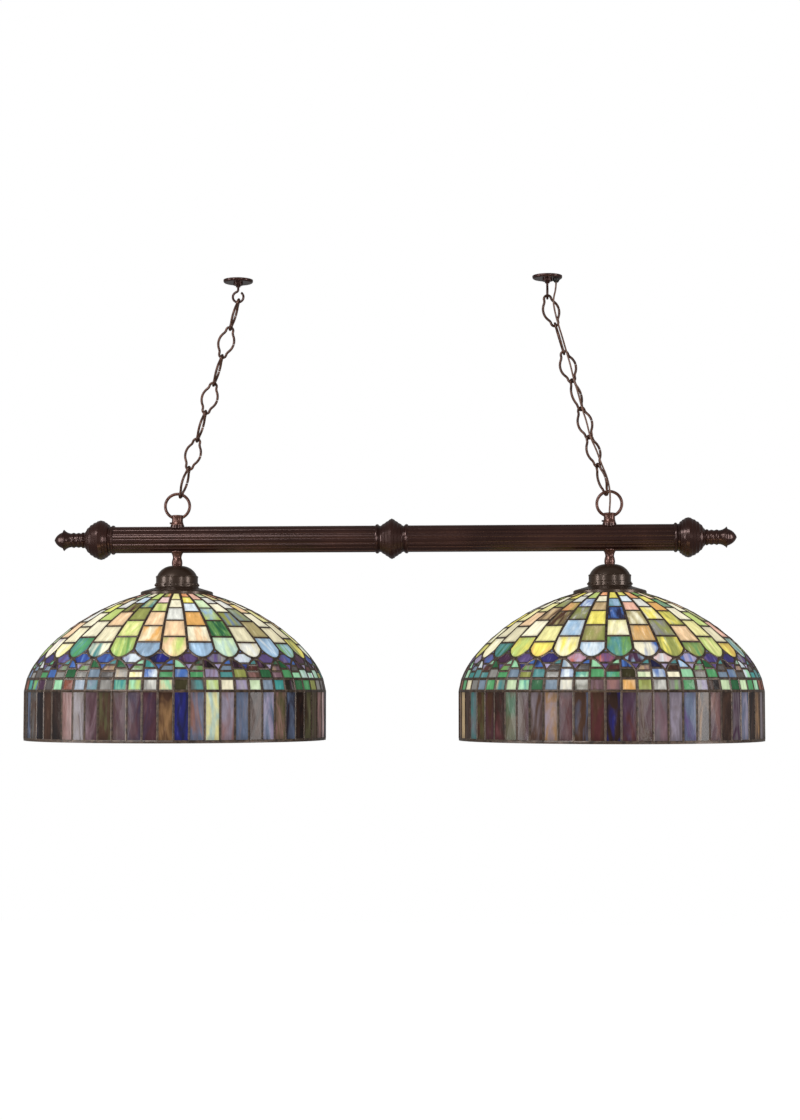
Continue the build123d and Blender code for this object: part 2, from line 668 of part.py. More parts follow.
def wire_connector():
    """Crimped connector inside the bar that joins the supply cord to the two leads."""
    near = RING_X - CONNECTOR_TO
    far = RING_X - CONNECTOR_FROM
    finish(turned_on_bar([(near, 4.2), (near + 5, 6), (far, 6)], 0), "wire_connector")


for side, sign in SIDES.items():
    ceiling_plate(side, sign)
    ceiling_hook(side, sign)
    hook_nut(side, sign)
    chains(side)
    hanging_loop(side, sign)
    set_screw(side, sign)
    loop_washer(side, sign)
    bar_tube(side, sign)
    end_ball(side, sign)
    finial(side, sign)
    end_plug(side, sign)
    nipple(side, sign)
    stem(side, sign)
    socket_cover(side, sign)
    vase_cap(side, sign)
    shade_ring(side, sign)
    spider(side, sign)
    lock_nut(side, sign)
    lampholder(side, sign)
    bulb_base(side, sign)
    bulb(side, sign)
    dome_shell(side, sign, "crown_glass", [CROWN_TOP_R, 100, 145, 185, SCALLOP_R])
    dome_shell(side, sign, "scallop_glass", [SCALLOP_R, 235, 243.5, 248, DOME_R])
    skirt_glass(side, sign)
    rim_came(side, sign)
    lead(side, sign)

centre_coupling()
centre_sleeve()
cord_bushing()
supply_cord()
wire_connector()
print("bar axis", round(BAR_Z, 1), "loop centre", round(RING_Z, 1), "lean", round(LEAN * 57.3, 2))
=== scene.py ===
"""Pool table lamp: leaded-glass domes, patinated bronze bar, chains and woven cord."""
import bpy
import math
import random
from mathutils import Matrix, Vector


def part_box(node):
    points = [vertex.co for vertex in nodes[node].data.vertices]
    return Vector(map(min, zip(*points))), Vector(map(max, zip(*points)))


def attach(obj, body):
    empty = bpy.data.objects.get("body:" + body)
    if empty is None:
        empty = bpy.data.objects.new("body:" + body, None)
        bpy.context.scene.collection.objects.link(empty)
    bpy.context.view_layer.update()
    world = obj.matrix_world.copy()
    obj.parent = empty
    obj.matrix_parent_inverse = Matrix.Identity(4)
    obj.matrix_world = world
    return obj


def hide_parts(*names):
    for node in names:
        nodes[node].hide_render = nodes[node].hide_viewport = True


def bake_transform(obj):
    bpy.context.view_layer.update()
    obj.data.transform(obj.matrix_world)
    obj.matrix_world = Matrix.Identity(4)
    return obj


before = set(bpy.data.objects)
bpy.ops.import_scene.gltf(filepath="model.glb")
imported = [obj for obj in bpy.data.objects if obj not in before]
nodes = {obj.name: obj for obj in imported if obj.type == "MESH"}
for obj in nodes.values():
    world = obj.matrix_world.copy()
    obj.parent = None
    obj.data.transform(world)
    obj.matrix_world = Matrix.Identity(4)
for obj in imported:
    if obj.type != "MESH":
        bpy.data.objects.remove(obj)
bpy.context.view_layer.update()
SIDES = ("left", "right")

# ---------------------------------------------------------------- places and sizes from the frame
skirt_low, skirt_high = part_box("right_skirt_glass")
crown_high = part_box("right_crown_glass")[1]
LAMP_X = (skirt_low[0] + skirt_high[0]) / 2       # from the middle of the bar to each lamp
LINE_Z = skirt_high[2]                            # line between the squares and the long strips
DOME_R = (skirt_high[0] - skirt_low[0]) / 2
SKIRT_DEPTH = skirt_high[2] - skirt_low[2]
CROWN_TOP = crown_high[2] - LINE_Z
bar_low, bar_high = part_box("right_bar_tube")
BAR_Z = (bar_low[2] + bar_high[2]) / 2
DOME_H = 0.1705                                   # height the dome would close at, over the line
DOME_POWER = 1.65                                 # 2 is an ellipse; less is flatter at the shoulder
GLASS_T = 0.003
MM = 0.001


# ---------------------------------------------------------------- camera, light and floor
CAMERA_TURN = math.radians(4)                     # the right lamp is the nearer one
CAMERA_AWAY = 3.37
CAMERA_RISE = math.radians(3.71)
CAMERA_SLIP = math.radians(0.23)
CAMERA_LENS = 65
CAMERA_SENSOR = 36
FLOOR_SIZE = 60
FLOOR_Z = -4.5
ROOM_GLOW = 0.22                                  # light of the white room on the lamp itself
FLOOR_GLOW = 0.88


def add_camera():
    """Level with the line of the strips, a little to the right, tilted up to the chains."""
    place = Vector((CAMERA_AWAY * math.sin(CAMERA_TURN), -CAMERA_AWAY * math.cos(CAMERA_TURN), LINE_Z))
    bpy.ops.object.camera_add(location=place)
    camera = bpy.context.object
    camera.rotation_euler = (math.radians(90) + CAMERA_RISE, 0, CAMERA_TURN - CAMERA_SLIP)
    camera.data.lens = CAMERA_LENS
    camera.data.sensor_width = CAMERA_SENSOR
    bpy.context.scene.camera = camera


def add_softbox(name, place, aim, size, power, colour=(1, 1, 1)):
    """Soft rectangular light facing the aim."""
    bpy.ops.object.light_add(type="AREA", location=place)
    lamp = bpy.context.object
    lamp.name = name
    lamp.data.shape = "RECTANGLE"
    lamp.data.size, lamp.data.size_y = size
    lamp.data.energy = power
    lamp.data.color = colour
    lamp.rotation_euler = (Vector(aim) - Vector(place)).to_track_quat("-Z", "Y").to_euler()


def add_studio():
    """White room, softboxes round the front, and a pale floor well below the lamp."""
    world = bpy.data.worlds.new("studio_white")
    world.use_nodes = True
    tree = world.node_tree
    plain = tree.nodes["Background"]
    plain.inputs["Color"].default_value = (1, 1, 1, 1)
    rays = add_node(tree, "LightPath")
    dimmer = add_node(tree, "MapRange", {"To Min": ROOM_GLOW, "To Max": 1.0})
    tree.links.new(rays.outputs["Is Camera Ray"], dimmer.inputs["Value"])
    tree.links.new(dimmer.outputs["Result"], plain.inputs["Strength"])
    bpy.context.scene.world = world
    middle = (0, 0, BAR_Z)
    add_softbox("key_softbox", (-1.3, -2.0, BAR_Z + 1.5), middle, (1.8, 0.6), 40)
    add_softbox("left_softbox", (-2.4, -0.9, BAR_Z + 0.1), middle, (0.5, 1.4), 24)
    add_softbox("right_softbox", (2.4, -0.9, BAR_Z + 0.1), middle, (0.5, 1.4), 24)
    add_softbox("left_strip_light", (-1.7, -2.7, BAR_Z + 0.15), middle, (0.22, 1.2), 16)
    add_softbox("right_strip_light", (1.5, -2.9, BAR_Z + 0.15), middle, (0.22, 1.2), 16)
    add_softbox("warm_low_softbox", (0.2, -1.6, BAR_Z - 1.3), middle, (1.6, 0.3), 5, (1, 0.72, 0.42))
    bpy.ops.mesh.primitive_plane_add(size=FLOOR_SIZE, location=(0, 0, FLOOR_Z))
    floor = bpy.context.object
    floor.name = "floor"
    floor.visible_diffuse = False
    floor.visible_glossy = False
    floor.data.materials.append(pale_finish())
    bpy.context.scene.view_settings.view_transform = "Standard"


# ---------------------------------------------------------------- shader helpers
def linear(colour):
    """Screen colour to light colour, channel by channel."""
    return tuple(c / 12.92 if c <= 0.04045 else ((c + 0.055) / 1.055) ** 2.4 for c in colour)


def add_node(tree, kind, values=None, operation=None, data_type=None):
    """Shader node with its settings and its unlinked inputs filled in."""
    node = tree.nodes.new("ShaderNode" + kind)
    if operation:
        node.operation = operation
    if data_type:
        node.data_type = data_type
    for label, value in (values or {}).items():
        node.inputs[label].default_value = value
    return node


def add_group(tree, group, values):
    """One use of a shared effect, with its own values."""
    node = add_node(tree, "Group")
    node.node_tree = group
    for label, value in values.items():
        node.inputs[label].default_value = value
    return node


def blank_material(name):
    """New material, its node tree and its surface shader."""
    material = bpy.data.materials.new(name)
    material.use_nodes = True
    tree = material.node_tree
    return material, tree, tree.nodes["Principled BSDF"]


def pale_finish():
    """Evenly lit near-white floor."""
    material, tree, shader = blank_material("pale_floor")
    shader.inputs["Base Color"].default_value = (0.6, 0.6, 0.6, 1)
    shader.inputs["Roughness"].default_value = 0.9
    shader.inputs["Emission Color"].default_value = (1, 1, 1, 1)
    shader.inputs["Emission Strength"].default_value = FLOOR_GLOW
    return material


def new_group(name, inputs, outputs):
    """Empty effect with named inputs and outputs."""
    group = bpy.data.node_groups.new(name, "ShaderNodeTree")
    for label, kind, value in inputs:
        socket = group.interface.new_socket(label, in_out="INPUT", socket_type=kind)
        socket.default_value = value
    for label, kind in outputs:
        group.interface.new_socket(label, in_out="OUTPUT", socket_type=kind)
    start = group.nodes.new("NodeGroupInput")
    end = group.nodes.new("NodeGroupOutput")
    return group, start, end


def mottle_group():
    """Cloudy patina: two tones blended by noise, with a roughness that follows."""
    group, start, end = new_group("patina_mottle", [
        ("Dark", "NodeSocketColor", (0.03, 0.02, 0.015, 1)), ("Light", "NodeSocketColor", (0.1, 0.06, 0.05, 1)),
        ("Scale", "NodeSocketFloat", 40.0), ("Rough", "NodeSocketFloat", 0.35)],
        [("Color", "NodeSocketColor"), ("Roughness", "NodeSocketFloat"), ("Height", "NodeSocketFloat")])
    link = group.links.new
    coords = add_node(group, "TexCoord")
    coarse = add_node(group, "TexNoise", {"Detail": 3, "Roughness": 0.5})
    link(coords.outputs["Object"], coarse.inputs["Vector"])
    link(start.outputs["Scale"], coarse.inputs["Scale"])
    contrast = add_node(group, "MapRange", {"From Min": 0.32, "From Max": 0.68})
    link(coarse.outputs["Fac"], contrast.inputs["Value"])
    tone = add_node(group, "Mix", data_type="RGBA")
    link(contrast.outputs["Result"], tone.inputs["Factor"])
    link(start.outputs["Dark"], tone.inputs["A"])
    link(start.outputs["Light"], tone.inputs["B"])
    spread = add_node(group, "Math", {1: 0.05}, operation="MULTIPLY_ADD")
    link(coarse.outputs["Fac"], spread.inputs[0])
    link(start.outputs["Rough"], spread.inputs[2])
    link(tone.outputs["Result"], end.inputs["Color"])
    link(spread.outputs["Value"], end.inputs["Roughness"])
    link(coarse.outputs["Fac"], end.inputs["Height"])
    return group


def metal_finish(name, dark, light, rough, metallic=0.55, scale=45.0, bump=0.15):
    """Patinated metal: mottled tones under a thin lacquer."""
    material, tree, shader = blank_material(name)
    mottle = add_group(tree, MOTTLE, {"Dark": (*linear(dark), 1), "Light": (*linear(light), 1),
                                      "Scale": scale, "Rough": rough})
    relief = add_node(tree, "Bump", {"Strength": bump, "Distance": 0.0004})
    link = tree.links.new
    link(mottle.outputs["Color"], shader.inputs["Base Color"])
    link(mottle.outputs["Roughness"], shader.inputs["Roughness"])
    link(mottle.outputs["Height"], relief.inputs["Height"])
    link(relief.outputs["Normal"], shader.inputs["Normal"])
    shader.inputs["Metallic"].default_value = metallic
    shader.inputs["Coat Weight"].default_value = 0.15
    shader.inputs["Coat Roughness"].default_value = 0.25
    return material


def streak_group():
    """Streaky sheet glass: two colours swirled together along the sheet, with pale wisps, dark veins and painted shade
    towards each pane's edge beside the solder.
    """
    group, start, end = new_group("sheet_streaks", [
        ("Main", "NodeSocketColor", (1, 1, 1, 1)), ("Second", "NodeSocketColor", (1, 1, 1, 1)),
        ("Along", "NodeSocketVector", (0, 0, 0)), ("Wisp", "NodeSocketFloat", 0.3), ("Depth", "NodeSocketFloat", 1.0)],
        [("Color", "NodeSocketColor"), ("Height", "NodeSocketFloat")])
    link = group.links.new
    swirl = add_node(group, "TexNoise", {"Scale": 1.0, "Detail": 3, "Distortion": 1.2})
    link(start.outputs["Along"], swirl.inputs["Vector"])
    split = add_node(group, "MapRange", {"From Min": 0.40, "From Max": 0.62})
    link(swirl.outputs["Fac"], split.inputs["Value"])
    blend = add_node(group, "Mix", data_type="RGBA")
    link(split.outputs["Result"], blend.inputs["Factor"])
    link(start.outputs["Main"], blend.inputs["A"])
    link(start.outputs["Second"], blend.inputs["B"])
    fine = add_node(group, "TexNoise", {"Scale": 2.6, "Detail": 6, "Roughness": 0.6})
    link(start.outputs["Along"], fine.inputs["Vector"])
    veins = add_node(group, "MapRange", {"From Min": 0.35, "From Max": 0.7, "To Min": 0.72, "To Max": 1.12})
    link(fine.outputs["Fac"], veins.inputs["Value"])
    shade = add_node(group, "VectorMath", operation="SCALE")
    link(blend.outputs["Result"], shade.inputs[0])
    link(veins.outputs["Result"], shade.inputs["Scale"])
    mask = add_node(group, "MapRange", {"From Min": 0.58, "From Max": 0.75})
    link(fine.outputs["Fac"], mask.inputs["Value"])
    wisps = add_node(group, "Math", operation="MULTIPLY")
    link(mask.outputs["Result"], wisps.inputs[0])
    link(start.outputs["Wisp"], wisps.inputs[1])
    pale = add_node(group, "Mix", {"B": (0.95, 0.93, 0.86, 1)}, data_type="RGBA")
    link(wisps.outputs["Value"], pale.inputs["Factor"])
    link(shade.outputs["Vector"], pale.inputs["A"])
    # painted shade: the colour falls to 0.66 towards each pane's edge, beside the solder
    painted_edge_shade = add_node(group, "MapRange", {"From Max": 0.3, "To Min": 0.66})
    link(start.outputs["Depth"], painted_edge_shade.inputs["Value"])
    edge = add_node(group, "VectorMath", operation="SCALE")
    link(pale.outputs["Result"], edge.inputs[0])
    link(painted_edge_shade.outputs["Result"], edge.inputs["Scale"])
    link(edge.outputs["Vector"], end.inputs["Color"])
    link(swirl.outputs["Fac"], end.inputs["Height"])
    return group


def glass_finish(name, glow, wisp):
    """Opalescent glass lit from behind, its backlight painted as a glow of its own colours; its two colours and its
    streak direction come with each pane.
    """
    material, tree, shader = blank_material(name)
    link = tree.links.new
    streaks = add_group(tree, STREAKS, {"Wisp": wisp})
    for label, socket in (("pane_main", "Main"), ("pane_second", "Second"), ("pane_grain", "Along"),
                          ("pane_depth", "Depth")):
        reader = add_node(tree, "Attribute")
        reader.attribute_name = label
        out = {"pane_grain": "Vector", "pane_depth": "Fac"}.get(label, "Color")
        link(reader.outputs[out], streaks.inputs[socket])
    ripple = add_node(tree, "Bump", {"Strength": 0.2, "Distance": 0.002})
    link(streaks.outputs["Height"], ripple.inputs["Height"])
    link(ripple.outputs["Normal"], shader.inputs["Normal"])
    body = add_node(tree, "VectorMath", {"Scale": 0.5}, operation="SCALE")
    link(streaks.outputs["Color"], body.inputs[0])
    link(body.outputs["Vector"], shader.inputs["Base Color"])
    # painted backlight: the pane's own colours glow at the given strength in place of the bulb's light through the
    # glass
    link(streaks.outputs["Color"], shader.inputs["Emission Color"])
    shader.inputs["Emission Strength"].default_value = glow
    shader.inputs["Roughness"].default_value = 0.24
    shader.inputs["Specular IOR Level"].default_value = 0.3
    return material


MOTTLE = mottle_group()
STREAKS = streak_group()
dark_bronze = metal_finish("dark_bronze", (0.20, 0.11, 0.09), (0.26, 0.155, 0.13), 0.23, bump=0.0, scale=14.0)
red_bronze = metal_finish("red_bronze", (0.30, 0.18, 0.145), (0.38, 0.245, 0.205), 0.25, bump=0.0, scale=40.0)
cover_bronze = metal_finish("cover_bronze", (0.22, 0.165, 0.13), (0.29, 0.225, 0.18), 0.27, bump=0.0, scale=16.0)
chain_bronze = metal_finish("chain_bronze", (0.22, 0.13, 0.095), (0.36, 0.24, 0.19), 0.34, scale=120.0, bump=0.05)
zinc_steel = metal_finish("zinc_steel", (0.55, 0.55, 0.53), (0.7, 0.7, 0.68), 0.3, metallic=0.9)
ring_brass = metal_finish("ring_brass", (0.5, 0.38, 0.2), (0.65, 0.5, 0.3), 0.35, metallic=0.9)
lead_came = metal_finish("lead_came", (0.16, 0.12, 0.09), (0.36, 0.29, 0.24), 0.4, metallic=0.35, scale=160.0,
                         bump=0.5)
holder_black = metal_finish("holder_black", (0.06, 0.06, 0.06), (0.1, 0.1, 0.1), 0.5, metallic=0.0)
lead_cover = metal_finish("lead_cover", (0.08, 0.06, 0.05), (0.14, 0.11, 0.09), 0.5, metallic=0.0)
cord_cover = metal_finish("cord_cover", (0.30, 0.19, 0.14), (0.46, 0.33, 0.27), 0.4, metallic=0.0, scale=300.0)
# painted backlight strength per band: the crown glows most, the dark skirt least
crown_sheet = glass_finish("crown_sheet", 0.80, 0.35)
jewel_sheet = glass_finish("jewel_sheet", 0.58, 0.15)
skirt_sheet = glass_finish("skirt_sheet", 0.40, 0.04)


def bulb_finish():
    """Frosted glass, lit from inside, a little uneven in tone."""
    material, tree, shader = blank_material("frosted_bulb")
    frost = add_group(tree, MOTTLE, {"Dark": (1, 0.80, 0.58, 1), "Light": (1, 0.90, 0.72, 1),
                                     "Scale": 60.0, "Rough": 0.4})
    link = tree.links.new
    link(frost.outputs["Color"], shader.inputs["Base Color"])
    link(frost.outputs["Color"], shader.inputs["Emission Color"])
    link(frost.outputs["Roughness"], shader.inputs["Roughness"])
    shader.inputs["Emission Strength"].default_value = 4
    return material


bulb_glow = bulb_finish()

FINISHES = {
    "ceiling_plate": dark_bronze, "ceiling_hook": dark_bronze, "hook_nut": dark_bronze, "top_link": chain_bronze,
    "chain_links": chain_bronze, "hanging_loop": red_bronze, "set_screw": dark_bronze, "loop_washer": dark_bronze,
    "bar_tube": dark_bronze, "end_ball": dark_bronze, "finial": dark_bronze, "end_plug": zinc_steel,
    "nipple": zinc_steel, "stem": red_bronze, "lock_nut": zinc_steel, "lampholder": holder_black,
    "lead": lead_cover, "socket_cover": cover_bronze, "vase_cap": cover_bronze, "shade_ring": ring_brass,
    "spider": ring_brass, "rim_came": lead_came, "bulb": bulb_glow, "bulb_base": zinc_steel,
    "centre_coupling": dark_bronze, "centre_sleeve": zinc_steel, "wire_connector": lead_cover,
    "cord_bushing": holder_black}


def finish_frame_nodes():
    """A finish for every CAD piece, the same on the left and on the right."""
    for name, piece in nodes.items():
        plain = name.replace("left_", "").replace("right_", "")
        if plain in FINISHES:
            piece.data.materials.clear()
            piece.data.materials.append(FINISHES[plain])


# ---------------------------------------------------------------- glass colours
GLASS = {
    "cream": (0.97, 0.94, 0.80), "straw": (0.93, 0.90, 0.58), "yellow": (0.95, 0.89, 0.33),
    "gold": (0.86, 0.72, 0.26), "amber": (0.90, 0.66, 0.30), "orange": (0.93, 0.62, 0.38),
    "peach": (0.96, 0.80, 0.60), "salmon": (0.93, 0.70, 0.60), "pink": (0.95, 0.80, 0.78),
    "red": (0.80, 0.42, 0.33), "rust": (0.52, 0.26, 0.16), "tan": (0.78, 0.66, 0.46), "sand": (0.90, 0.86, 0.70),
    "khaki": (0.68, 0.62, 0.40), "olive": (0.58, 0.60, 0.28), "lime": (0.75, 0.83, 0.42),
    "leaf": (0.45, 0.66, 0.32), "green": (0.30, 0.62, 0.38), "deepgreen": (0.16, 0.40, 0.24),
    "mint": (0.60, 0.86, 0.66), "palegreen": (0.80, 0.90, 0.70), "paleteal": (0.72, 0.84, 0.78),
    "teal": (0.30, 0.56, 0.56), "turquoise": (0.18, 0.58, 0.56), "sky": (0.60, 0.74, 0.86),
    "ice": (0.86, 0.91, 0.94), "mist": (0.88, 0.88, 0.84), "slate": (0.46, 0.54, 0.62), "grey": (0.56, 0.55, 0.53),
    "blue": (0.24, 0.42, 0.72), "royal": (0.12, 0.14, 0.52), "navy": (0.13, 0.13, 0.26),
    "indigo": (0.22, 0.18, 0.46), "violet": (0.38, 0.30, 0.52), "lilac": (0.70, 0.66, 0.80),
    "lavender": (0.60, 0.55, 0.68), "mauve": (0.50, 0.38, 0.42), "rose": (0.62, 0.44, 0.42),
    "plum": (0.30, 0.18, 0.28), "maroon": (0.36, 0.17, 0.18), "brown": (0.32, 0.21, 0.15),
    "umber": (0.22, 0.14, 0.11), "darkolive": (0.24, 0.22, 0.12), "black": (0.12, 0.09, 0.09),
    "bronze": (0.46, 0.35, 0.24), "smoke": (0.36, 0.34, 0.33), "dusk": (0.27, 0.20, 0.30),
    "wine": (0.34, 0.20, 0.24), "clay": (0.55, 0.38, 0.34), "ash": (0.48, 0.43, 0.46), "haze": (0.62, 0.58, 0.66),
    "steel": (0.36, 0.42, 0.54), "honey": (0.62, 0.46, 0.28), "moss": (0.36, 0.34, 0.20),
    "night": (0.15, 0.13, 0.20)}

CROWN_PLAN = {
    "left": {0: "straw cream mist peach", 1: "orange yellow ice amber peach/cream",
             2: "salmon palegreen lime/sky deepgreen/leaf", 3: "leaf/cream mist cream slate/olive sand",
             4: "straw/tan mist/orange slate/olive khaki", 5: "orange/red tan peach/yellow cream sand",
             6: "palegreen cream straw sand", -1: "olive/orange pink straw/lime peach cream/amber",
             -2: "lime yellow/teal olive lime/straw", -3: "cream ice/sky olive/brown peach sand",
             -4: "palegreen/grey lilac/mist lime cream", -5: "salmon peach/tan lime/yellow cream sand",
             -6: "straw cream mist peach"},
    "right": {0: "yellow teal/sky blue/navy straw/cream", 1: "lime/yellow ice/sky salmon khaki/cream tan/amber",
              2: "yellow/orange mist cream/yellow olive/grey", 3: "leaf yellow amber yellow/olive peach/tan",
              4: "orange/cream grey/green cream straw", 5: "olive straw cream lime sand",
              -1: "orange cream tan yellow olive/khaki", -2: "lime ice/blue olive/grey ice/sky",
              -3: "cream mist orange/olive khaki/brown straw", -4: "yellow olive/grey tan/brown cream",
              -5: "tan cream straw peach sand", -6: "lime cream straw sand"}}
SCALLOP_PLAN = {
    "left": {0: "peach/lime", 1: "slate/sky", 2: "paleteal/palegreen", 3: "mist/sand", 4: "sky/ice", 5: "leaf/sky",
             6: "yellow/olive", -1: "sky/slate", -2: "lime/leaf", -3: "teal/cream", -4: "green/teal", -5: "cream/straw",
             -6: "lilac/cream"},
    "right": {0: "teal/leaf", 1: "cream/blue", 2: "olive/yellow", 3: "olive/green", 4: "lime/straw", 5: "gold/yellow",
              -1: "ice/sky", -2: "cream/yellow", -3: "yellow/orange", -4: "yellow/lime", -5: "deepgreen/teal"}}
JEWEL_PLAN = {
    "left": (-6, "indigo violet/blue blue/royal indigo/blue ice/royal royal/navy plum/violet violet/grey "
                 "lilac/ice violet blue/violet plum"),
    "right": (-7, "lavender violet/blue plum violet indigo lilac/red violet/red sky/plum pink/ice lilac/blue "
                  "indigo/violet indigo")}
SQUARE_PLAN = {
    "left": (-12, "leaf/blue plum smoke mint rust slate teal/slate grey turquoise/mint lime/mint grey/mist "
                  "mint/peach darkolive teal/smoke palegreen/lime cream lavender/grey palegreen slate/grey "
                  "turquoise black/plum deepgreen green olive"),
    "right": (-13, "sand grey slate green teal/tan palegreen mint/turquoise deepgreen slate cream/mist "
                   "darkolive/mist mauve/brown mauve/rose amber/peach olive/lime mist/grey leaf/grey green "
                   "lavender/grey black/brown palegreen deepgreen palegreen green")}
RECTANGLE_PLAN = {
    "left": (-12, "smoke green blue grey deepgreen grey slate smoke tan/grey cream/yellow ice/blue green "
                  "slate/blue green lavender/mauve teal/turquoise olive brown/rose deepgreen mauve green mint"),
    "right": (-10, "grey green slate olive teal grey ice/blue turquoise/mint green turquoise/green darkolive "
                   "palegreen/cream ice/blue cream mint grey green slate")}
STRIP_PLAN = {
    "left": (-12, "smoke/brown night/black umber/brown umber/black clay/rose ash/brown mauve/wine brown/moss "
                  "wine/brown dusk/wine dusk/wine honey/brown royal/navy clay/steel straw/paleteal haze/rose "
                  "ash/steel brown/umber steel/lavender moss/rose steel/night umber/black moss/umber brown/moss "
                  "rose/brown pink/mauve"),
    "right": (-14, "tan brown/umber teal/ash brown/moss brown/wine umber/maroon deepgreen/moss wine/brown "
                   "brown/ash haze/honey maroon/wine steel/brown maroon/brown umber/royal maroon/plum "
                   "wine/brown ash/mauve ash/haze steel/violet umber/honey wine/clay umber/brown ash/plum "
                   "steel/haze umber/black brown/honey ash")}
SPARE_GLASS = {
    "crown": ("cream straw yellow peach palegreen lime olive/cream sand tan mist ice/sky salmon amber/cream "
              "leaf/straw").split(),
    "scallop": "lime/leaf cream/straw sky/ice peach/yellow teal/cream olive/yellow mist/slate".split(),
    "jewel": "indigo violet plum/violet blue/royal lilac/ice violet/grey".split(),
    "small": "green slate/blue teal grey smoke turquoise olive lavender mint/ice rust deepgreen".split(),
    "strip": ("umber/brown brown/clay wine/brown maroon/plum dusk/plum night/steel moss/brown umber/black "
              "mauve/ash smoke/brown steel/ash honey/brown haze/ash").split()}


def glass_pair(words):
    """Two light colours from one or two glass names."""
    pair = []
    for name in (words.split("/")[0], words.split("/")[-1]):
        colour = linear(GLASS[name])
        grey = sum(colour) / 3
        pair.append([c * 0.87 + grey * 0.13 for c in colour])
    return pair


def from_run(plan, index, spare, dice):
    """Glass for a place in a run that starts at plan[0], or any spare glass outside the run."""
    start, words = plan
    run = words.split()
    if 0 <= index - start < len(run):
        return run[index - start]
    return dice.choice(SPARE_GLASS[spare])


# ---------------------------------------------------------------- the dome's surface
# Heights are over the line below the squares; distances round the dome are in columns.
COLUMNS = 32
COLUMN = 360 / COLUMNS
COLUMN_FACING = {"left": 9.1, "right": 1.6}       # a long-scallop column's turn to the right of straight ahead
LONG_ROWS = (0.1492, 0.1346, 0.1132, 0.0862)      # between the bricks of a column with a long scallop
SHORT_ROWS = (0.1540, 0.1430, 0.1280, 0.1040, 0.0775)
SQUARE_H = 0.020
SCALLOP_TIP = 0.0525
SCALLOP_SIDE = 0.066
ARCH_TIP = 0.0505
ARCH_SIDE = 0.0315
CAME_HALF = {"crown": 0.0021, "jewels": 0.0019, "squares": 0.0025, "strips": 0.0019}
CAME_PROUD = 0.0010                               # crest of the solder over the joint
CAME_FOOT = 0.0003                                # thickness of the solder where it meets the glass
GLASS_TUCK = 0.0004                               # how far a pane reaches under the solder
PANE_SWELL = 0.0004                               # a pane's middle and edge, out from the plane of its corners
PANE_EDGE = 0.0001
HEART_DEPTH = 0.1                                 # a point inside the shade that every pane faces away from
MITRE_LIMIT = 0.25                                # keeps the corners of sharp panes from running away
STREAK_ACROSS, STREAK_ALONG, STREAK_LEAN = 52, 12, 9


def dome_radius(height):
    """The dome's radius at a height; the skirt below the line is upright."""
    if height <= 0:
        return DOME_R
    return DOME_R * (1 - (height / DOME_H) ** DOME_POWER) ** (1 / DOME_POWER)


def on_dome(axis_x, turn, height, out=0.0):
    """Place on the dome: turn in degrees from the front to the right, height above the line, distance outwards."""
    radius = dome_radius(height)
    across, up = 1.0, 0.0
    if height > 0:
        across = (radius / DOME_R) ** DOME_POWER / radius
        up = (height / DOME_H) ** DOME_POWER / height
        size = math.hypot(across, up)
        across, up = across / size, up / size
    angle = math.radians(turn)
    reach = radius + out * across
    return Vector((axis_x + reach * math.sin(angle), -reach * math.cos(angle), LINE_Z + height + out * up))


